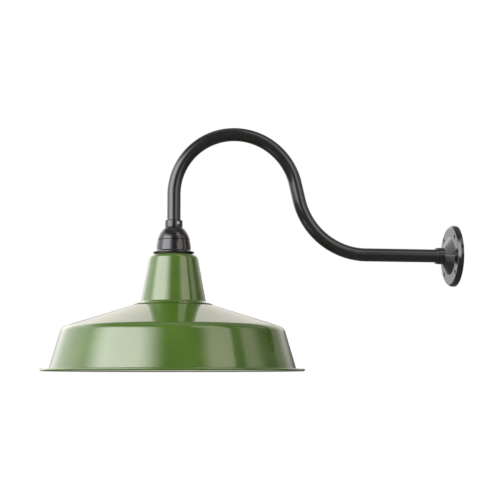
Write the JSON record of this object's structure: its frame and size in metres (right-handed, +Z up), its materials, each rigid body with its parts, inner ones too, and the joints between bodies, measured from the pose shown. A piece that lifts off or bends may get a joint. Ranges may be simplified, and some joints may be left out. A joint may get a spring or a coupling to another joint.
{
  "type": "gooseneck wall sconce",
  "caption": "Gooseneck wall sconce: a bent conduit arm from a round wall plate holds a bell cap and a stepped green enamelled shade over a screw lamp.",
  "frame": {"origin": "centre of the wall plate's back face, on the wall", "axes": "+Y into the wall, the arm comes out along -Y; +Z up; X = 0 is the arm's plane"},
  "size_m": [0.388, 0.626, 0.3652],
  "materials": {
    "plate_paint": "satin black paint on cast metal",
    "arm_paint": "satin black paint on steel conduit",
    "cap_metal": "dark gunmetal plating",
    "green_enamel": "gloss vitreous enamel, green outside and white inside",
    "gasket_rubber": "moulded",
    "bright_steel": "zinc plated",
    "brass": "turned",
    "porcelain": "glazed",
    "black_plastic": "moulded",
    "block_plastic": "moulded",
    "live_insulation": "extruded",
    "neutral_insulation": "extruded",
    "earth_insulation": "extruded",
    "solder": "soldered",
    "black_glass": "fused",
    "lamp_cap_metal": "nickelled",
    "pearl_glass": "pearl"
  },
  "bodies": {
    "fixture": {"wall_plate": "plate_paint", "arm_lock_ring": "arm_paint", "arm_tube": "arm_paint", "wall_end_bush": "black_plastic", "lamp_end_bush": "black_plastic", "live_wire": "live_insulation", "neutral_wire": "neutral_insulation", "earth_wire": "earth_insulation", "plate_terminal_block": "block_plastic", "plate_terminal_screws": "bright_steel", "block_fixing_screw": "bright_steel", "plate_earth_screw": "brass", "plate_earth_lug": "brass", "cap_earth_lug": "brass", "cap_earth_screw": "brass", "cap_collar": "cap_metal", "collar_grub_screw": "bright_steel", "bell_cap": "cap_metal", "shade_gallery": "cap_metal", "shade_gasket": "gasket_rubber", "shade_ring": "bright_steel", "cap_locknut": "bright_steel", "shade_neck": "green_enamel", "shade_dish": "green_enamel", "lampholder_body": "porcelain", "holder_screws": "bright_steel", "holder_terminals": "brass", "holder_terminal_screws": "brass", "screw_shell": "brass"},
    "contact": {"centre_contact": "brass"},
    "lamp": {"lamp_tip": "solder", "lamp_insulator": "black_glass", "lamp_screw_cap": "lamp_cap_metal", "lamp_glass": "pearl_glass"}
  },
  "joints": [
    {"name": "contact_travel", "type": "slide", "parent": "fixture", "child": "contact", "axis": [0, 0, -1], "range_m": [0, 0.0037]},
    {"name": "lamp_turn", "type": "hinge", "parent": "contact", "child": "lamp", "pos_m": [0, -0.432, -0.05], "axis": [0, 0, -1], "range_deg": [0, 360]}
  ],
  "couplings": [
    {"joint": "contact_travel", "follows": "lamp_turn", "m_per_rad": 0.00057757}
  ]
}
